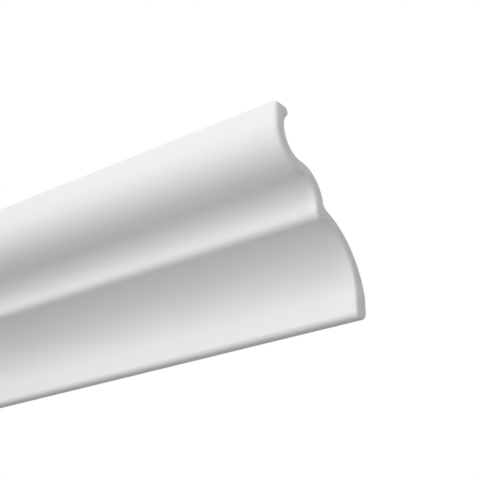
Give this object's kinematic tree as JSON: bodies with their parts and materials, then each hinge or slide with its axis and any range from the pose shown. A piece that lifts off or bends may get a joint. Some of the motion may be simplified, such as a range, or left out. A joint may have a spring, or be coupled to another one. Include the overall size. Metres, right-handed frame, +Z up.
{
  "type": "crown moulding length",
  "caption": "Straight length of white crown moulding with an ovolo, a small cove and a large cove, open behind, to fix in the corner of wall and ceiling.",
  "frame": {"origin": "middle of the flat seat that lies against the wall, halfway along the length", "axes": "+X along the length, +Y into the wall, +Z up to the ceiling; the face looks to -Y"},
  "size_m": [1, 0.077, 0.092],
  "materials": {
    "white_face": "factory-primed matte white, moulded hard foam"
  },
  "bodies": {
    "root": {"crown_moulding": "white_face"}
  },
  "joints": []
}
